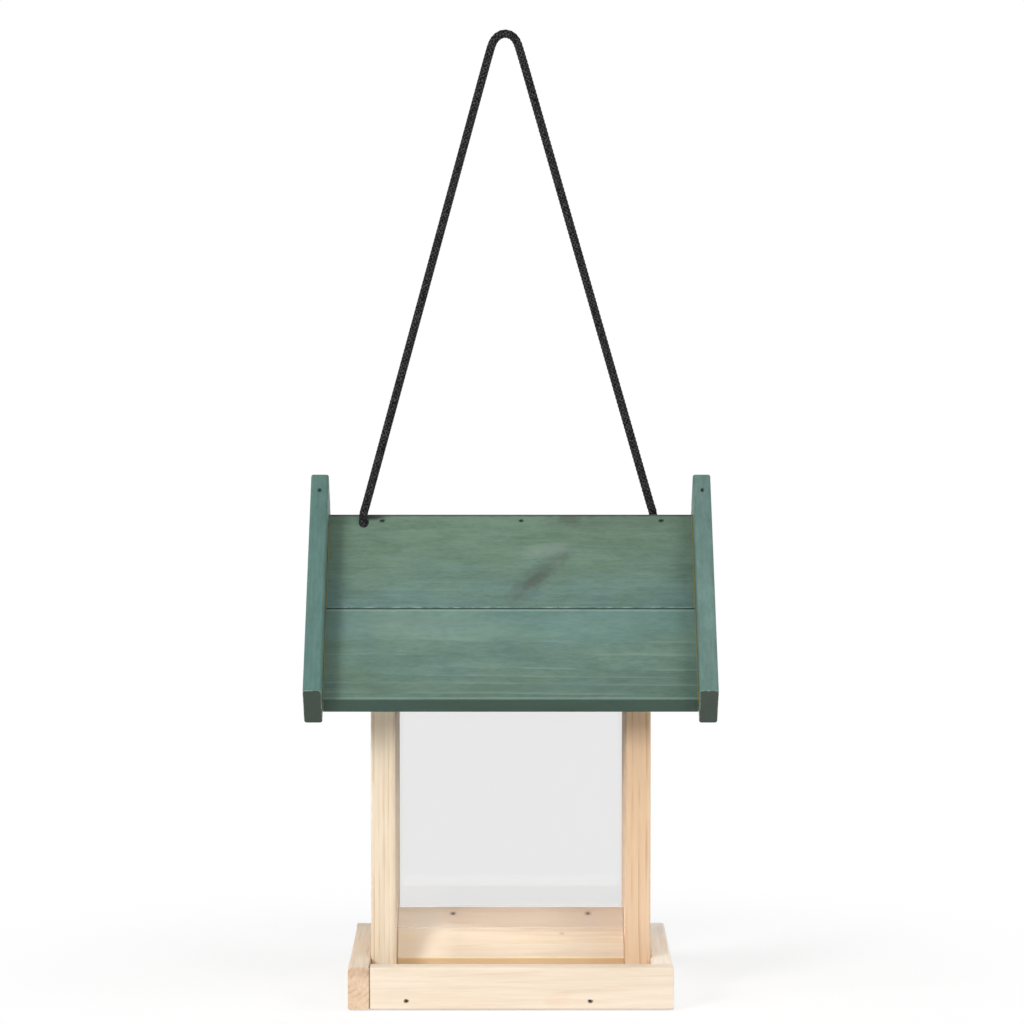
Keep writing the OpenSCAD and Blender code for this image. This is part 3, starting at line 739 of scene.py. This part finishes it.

# ---------------------------------------------------------------- seed ramp
# Two boards form a low gable inside the hopper, the front one lapping the back. The front board
# has a band of pinkish heartwood along the peak, deepened by painted shade of the pane in front
# of it, with two nails in it and a pin knot. On a front slope, v is the distance down from its
# peak less its APEX.
SLOPE = math.sqrt(0.5)
FRONT_OUT, BACK_OUT = (0, -SLOPE, SLOPE), (0, SLOPE, SLOPE)
RAMP_APEX, RAMP_FOOT, PLANK_IN = 45.94 * SLOPE, 36, 64.5
planed(
    "front_seed_ramp",
    wood(
        "front_ramp_wood", X, FRONT_OUT, (14 - RAMP_APEX, -14), linear("E5D7C3"), linear("D0AF88"),
        ring=3.0, line=0.35, drift=(0.03, 0.0), bend=2.5, seed=8.8,
        # The heartwood tint is deepened by painted shade of the pane in front of it
        heart_and_shade=(0.05, 17.0 - RAMP_APEX, 5.0, (0.765, 0.685, 0.638)),
        knots=[(29, 19 - RAMP_APEX, 1.6, 1.0, 0, 0.6, 0.4)],
        # Painted light by the left plank and along the foot, painted shade towards the right plank
        bands=[
            ("u", -PLANK_IN, 36, 0.7, linear("FFF0DC")),
            ("u", PLANK_IN, 58, 0.22, linear("857A6A")),
            ("v", RAMP_FOOT - RAMP_APEX, 1.0, 0.6, linear("FFE6BC")),
        ],
        bruises_and_shade=[(-33, -3.5, 42.4, 1.9), (44, -3.5, 42.4, 1.9)], mark="8A6A52",
    ),
)
planed(
    "back_seed_ramp",
    wood(
        "back_ramp_wood", X, BACK_OUT, (-20, -36), linear("F6E2C8"), linear("D8B48C"),
        ring=3.0, seed=9.1,
    ),
)

# ---------------------------------------------------------------- panes
# Clear acrylic sheet with sawn edges, dropped into the grooves of the planks. Two sheets in a row
# grey the white behind them. Lamps shine through, so the ramp behind the sheet is lit.
clear_acrylic, s = painted("clear_acrylic")
haze = s.noise(s.millimetres(), 0.009, 2)
clear = s.mix(haze, (0.885, 0.885, 0.885), (0.905, 0.905, 0.905))
sawn = s.add("ShaderNodeAttribute", 2, {"attribute_name": "arris"})
polished = s.between(haze, 0.3, 0.7, 0.0, 0.012, False)
s.add(
    "ShaderNodeOutputMaterial",
    Surface=s.add(
        "ShaderNodeMixShader",
        i0=s.tree.nodes.new("ShaderNodeLightPath").outputs["Is Shadow Ray"],
        i1=s.add(
            "ShaderNodeBsdfPrincipled",
            # The sawn faces are tinted a dull brown: painted reflection of the wood round them
            Base_Color=s.mix(sawn, clear, (0.42, 0.36, 0.30)),
            Roughness=s.math("ADD", polished, s.math("MULTIPLY", sawn, 0.45)),
            IOR=1.49,
            Transmission_Weight=1.0,
        ),
        i2=s.add("ShaderNodeBsdfTransparent", Color=(0.97, 0.97, 0.97, 1)),
    ),
)
for node in ("front_pane", "back_pane"):
    pane = planed(node, clear_acrylic, ease=0.00006)
    # The narrow faces are sawn and take the same frosted look as the broken edges
    marks = pane.data.attributes["arris"].data
    for face in pane.data.polygons:
        if abs(face.normal.y) < 0.9:
            marks[face.index].value = 1.0

# ---------------------------------------------------------------- roof boards
# Two boards a slope, joined by tongue and groove, brushed with a grey-green stain that is olive
# near the ridge and the eave and bluer by the seam. The upper front board has one slanting spike
# knot.
THIN, OLIVE, BLUE, DEEP = linear("8FA89D"), linear("698573"), linear("63837D"), linear("26332D")
# Nail bruises, and the painted shadow of the cord on the upper front board
BRUISE_AND_SHADE = "27332D"
BARE, BARE_RING = linear("D8C3A0"), linear("A98C62")
RIDGE_Z, SEAM, EAVE, ROOF_END = 270.97, 70, 135, 103.4
ROOF_APEX = RIDGE_Z * SLOPE
BARE_ENDS = [("u", end, 0.9, 0.85, linear("857A48")) for end in (-ROOF_END, ROOF_END)]
# Painted shadow of the bargeboards, along both ends of the front roof boards
BARGE_SHADE = [("u", end, 10, 0.16, DEEP) for end in (-ROOF_END, ROOF_END)]
planed(
    "front_upper_roof_board",
    wood(
        "front_upper_roof_stain", X, FRONT_OUT, (-90 - ROOF_APEX, 110), BARE, BARE_RING,
        ring=3.6, line=0.12, drift=(0.02, 0.0), bend=2.0, seed=10.4,
        stain=(THIN, OLIVE, BLUE, DEEP, 30 - ROOF_APEX, SEAM - ROOF_APEX),
        bands=[
            ("v", SEAM - ROOF_APEX, 0.9, 0.75, DEEP), ("v", 1.1 - ROOF_APEX, 0.9, 0.65, DEEP),
            *BARGE_SHADE, *BARE_ENDS,
        ],
        knots=[
            (15, 47 - ROOF_APEX, 27, 6.5, math.radians(-48), 2.0, 0.5),
            (14, 49 - ROOF_APEX, 10, 3.0, math.radians(-40), 0.0, 0.5),
            (20, 27 - ROOF_APEX, 12, 4.5, math.radians(-10), 0.0, -0.35),
            (34, 4 - ROOF_APEX, 6.5, 6, 0.3, 1.0, 0.5),
            (60, 6 - ROOF_APEX, 34, 8, 0.0, 0.0, 0.25),
            # Not a knot: the painted shadow of the cord along the ridge, right of its hole
            (-76.5, 1.8 - ROOF_APEX, 6.5, 2.4, 0.0, 0.0, 0.9),
        ],
        # Three nails, and a painted shadow of the cord beside its hole
        bruises_and_shade=[
            *((x, -3.54, 267.4, 1.4) for x in (-73, 6, 85.5)),
            (-79, -1.2, 269.8, 4.0), (-76.5, -0.9, 270.1, 3.6),
        ],
        mark=BRUISE_AND_SHADE,
    ),
)
planed(
    "front_lower_roof_board",
    wood(
        "front_lower_roof_stain", X, FRONT_OUT, (74 - ROOF_APEX, 125), BARE, BARE_RING,
        ring=3.8, line=0.34, drift=(-0.01, 0.0), bend=0.8, seed=11.2,
        stain=(THIN, OLIVE, BLUE, DEEP, EAVE + 45 - ROOF_APEX, SEAM - 20 - ROOF_APEX),
        bands=[
            ("v", SEAM + 1.2 - ROOF_APEX, 1.1, 0.5, THIN),
            ("v", EAVE - 1.0 - ROOF_APEX, 0.7, 0.3, THIN),
            # Painted shade on the eave edge, which faces down and forward
            ("v", EAVE - ROOF_APEX, 0.4, 0.8, linear("374F47")),
            ("v", SEAM + 10 - ROOF_APEX, 16, 0.11, linear("86B3A8")),
            ("v", EAVE - 8 - ROOF_APEX, 16, 0.17, DEEP),
            *BARGE_SHADE, *BARE_ENDS,
        ],
        knots=[(-48, SEAM + 11 - ROOF_APEX, 45, 9, 0.0, 0.0, -0.2)],
    ),
)
planed(
    "back_upper_roof_board",
    wood(
        "back_upper_roof_stain", X, BACK_OUT, (60, 70), BARE, BARE_RING, ring=2.8, line=0.35,
        drift=(0.01, 0.0), bend=2.5, seed=12.6,
        stain=(THIN, OLIVE, BLUE, DEEP, ROOF_APEX - 30, ROOF_APEX - SEAM),
    ),
)
planed(
    "back_lower_roof_board",
    wood(
        "back_lower_roof_stain", X, BACK_OUT, (100, 40), BARE, BARE_RING, ring=2.6, line=0.4,
        drift=(-0.02, 0.0), bend=2.5, seed=13.5,
        stain=(THIN, OLIVE, BLUE, DEEP, ROOF_APEX - EAVE, ROOF_APEX - SEAM),
    ),
)

# ---------------------------------------------------------------- bargeboards
# Strips with rounded edges, nailed to the ends of the roof boards. The same stain lies a little
# heavier on the left ones and thinner on the right ones, and is nearly black on their sawn ends:
# the end grain soaks it up, and the darkness is also painted shade of these down-facing ends.
BARGE_STAINS = {"left": ("5F826F", "547A74"), "right": ("718C79", "678882")}
BARGE_IN, BARGE_OUT = 103.5, 113.5
for side, word, seed in ((-1, "left", 14.2), (1, "right", 15.8)):
    for slope, toward, seed_on in (("front", -1, 0.0), ("back", 1, 0.5)):
        # One nail in the peak of a front board, and four in the side of each
        bruises_and_shade = []
        if slope == "front":
            bruises_and_shade.append((side * (BARGE_IN + BARGE_OUT) / 2, toward * 8.49, 285.1, 1.5))
        for down in (20, 55, 85, 120):
            along = down * SLOPE
            bruises_and_shade.append((side * BARGE_OUT, toward * along, RIDGE_Z - along - 8.5, 1.5))
        greenest, bluest = side * BARGE_OUT, side * BARGE_IN
        planed(
            f"{slope}_{word}_bargeboard",
            wood(
                f"{slope}_{word}_barge_stain",
                (0, toward * SLOPE, -SLOPE), (0, toward * SLOPE, SLOPE), (side * 150, 150),
                BARE, BARE_RING, ring=2.9, line=0.08, seed=seed + seed_on, bruises_and_shade=bruises_and_shade, mark=BRUISE_AND_SHADE,
                stain=(THIN, *map(linear, BARGE_STAINS[word]), DEEP, greenest, bluest),
            ),
        )

# ---------------------------------------------------------------- nails and pins
# Wire brads with a slightly wider head and a cut point, set just below the wood, and plain pins
# of the same wire that stop the panes. All are dark with age and a little rusted on the head.
wire, s = painted("nail_wire")
rust = s.noise(s.millimetres(), 1.4, 3)
s.add(
    "ShaderNodeOutputMaterial",
    Surface=s.add(
        "ShaderNodeBsdfPrincipled",
        Base_Color=s.mix(s.between(rust, 0.4, 0.65), linear("4A4743"), linear("4B3527")),
        Metallic=0.85,
        Roughness=s.between(rust, 0.3, 0.7, 0.38, 0.7, False),
        Normal=s.add("ShaderNodeBump", Strength=0.3, Distance=0.00003, Height=rust),
    ),
)


def driven(node):
    """The middle of the head and of the tip of each nail of a CAD node, in order."""
    work = bmesh.new()
    work.from_mesh(frame["nodes"][node].data)
    bmesh.ops.remove_doubles(work, verts=work.verts, dist=2e-6)
    work.verts.index_update()
    seen, ends = set(), []
    for first in work.verts:
        if first.index in seen:
            continue
        seen.add(first.index)
        queue, nail = [first], []
        while queue:
            vert = queue.pop()
            nail.append(vert.co[:])
            for edge in vert.link_edges:
                other = edge.other_vert(vert)
                if other.index not in seen:
                    seen.add(other.index)
                    queue.append(other)
        nail = np.array(nail)
        centred = nail - nail.mean(0)
        along = centred @ np.linalg.svd(centred)[2][0]
        pair = [nail[along > 0].mean(0), nail[along <= 0].mean(0)]
        # The head is the end that lies further out or higher up
        pair.sort(key=lambda spot: -(abs(spot[0]) + abs(spot[1]) + spot[2]))
        ends.append(pair)
    work.free()
    return ends


BRAD_SIZES = ("Length", "Wire diameter", "Head diameter", "Head thickness", "Point length")


def brad_tree():
    """A brad from its sizes, put at every point and turned to face out of the wood there."""
    tree = bpy.data.node_groups.new("brads", "GeometryNodeTree")
    tree.interface.new_socket("Places", in_out="INPUT", socket_type="NodeSocketGeometry")
    for label in BRAD_SIZES:
        tree.interface.new_socket(label, in_out="INPUT", socket_type="NodeSocketFloat")
    tree.interface.new_socket("Brads", in_out="OUTPUT", socket_type="NodeSocketGeometry")
    g = Shader(tree)
    given = tree.nodes.new("NodeGroupInput").outputs
    length, wire_d, head_d, head_t, point = (given[k] for k in range(1, 6))

    def pick(values):
        """A value for each station along the brad, from the top of its head to its point."""
        node = tree.nodes.new("GeometryNodeIndexSwitch")
        node.data_type = "FLOAT"
        while len(node.index_switch_items) < len(values):
            node.index_switch_items.new()
        tree.links.new(tree.nodes.new("GeometryNodeInputIndex").outputs[0], node.inputs[0])
        for k, value in enumerate(values):
            if isinstance(value, bpy.types.NodeSocket):
                tree.links.new(value, node.inputs[k + 1])
            else:
                node.inputs[k + 1].default_value = value
        return node.outputs[0]

    head_r, wire_r = g.math("MULTIPLY", head_d, 0.5), g.math("MULTIPLY", wire_d, 0.5)
    depth = pick([
        0.0, g.math("MULTIPLY", head_t, 0.2), g.math("MULTIPLY", head_t, 0.45), head_t,
        g.math("MULTIPLY", head_t, 1.5), g.math("SUBTRACT", length, point), length,
    ])
    radius = pick([
        g.math("MULTIPLY", head_r, 0.6), g.math("MULTIPLY", head_r, 0.9), head_r, head_r,
        wire_r, wire_r, g.math("MULTIPLY", wire_r, 0.15),
    ])
    line = g.add("GeometryNodeMeshLine", Count=7)
    down = g.add("ShaderNodeCombineXYZ", Z=g.math("MULTIPLY", depth, -1))
    line = g.add("GeometryNodeSetPosition", Geometry=line, Position=down)
    line = g.add("GeometryNodeMeshToCurve", Mesh=line)
    ring = g.add("GeometryNodeCurvePrimitiveCircle", Resolution=12, Radius=1.0)
    brad = g.add(
        "GeometryNodeCurveToMesh", Curve=line, Profile_Curve=ring, Scale=radius, Fill_Caps=True
    )
    vectors = {"data_type": "FLOAT_VECTOR"}
    facing = g.add("GeometryNodeInputNamedAttribute", given=vectors, Name="outward")
    turned = g.add("FunctionNodeAlignRotationToVector", given={"axis": "Z"}, Vector=facing)
    brads = g.add("GeometryNodeInstanceOnPoints", Points=given[0], Instance=brad, Rotation=turned)
    brads = g.add("GeometryNodeRealizeInstances", Geometry=brads)
    brads = g.add("GeometryNodeSetMaterial", Geometry=brads, Material=wire)
    g.add("NodeGroupOutput", Brads=brads)
    return tree


BRADS = brad_tree()
# The sizes that follow the length, in metres
BRAD, PIN = (0.0014, 0.0016, 0.0005, 0.0022), (0.002, 0.002, 0.0003, 0.0003)
for node in sorted(frame["nodes"]):
    if not (node.endswith("_nails") or node == "pane_stop_pins"):
        continue
    ends = driven(node)
    places = bpy.data.meshes.new(node + "_places")
    places.from_pydata([head.tolist() for head, tip in ends], [], [])
    outward = places.attributes.new("outward", "FLOAT_VECTOR", "POINT")
    for k, (head, tip) in enumerate(ends):
        outward.data[k].vector = head - tip
    maker = placed(node + "_places", places)
    modifier = maker.modifiers.new("brads", "NODES")
    modifier.node_group = BRADS
    length = float(np.linalg.norm(ends[0][0] - ends[0][1]))
    sizes = (length, *(PIN if node == "pane_stop_pins" else BRAD))
    sockets = {item.name: item.identifier for item in BRADS.interface.items_tree}
    for label, size in zip(BRAD_SIZES, sizes):
        modifier[sockets[label]] = size
    made = finished(maker, node + "_wire")
    made.materials.clear()
    made.materials.append(wire)
    made.polygons.foreach_set("material_index", [0] * len(made.polygons))
    nail = placed(node + "_wire", made)
    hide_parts(node)
    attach(nail, frame["nodes"][node]["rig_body"])
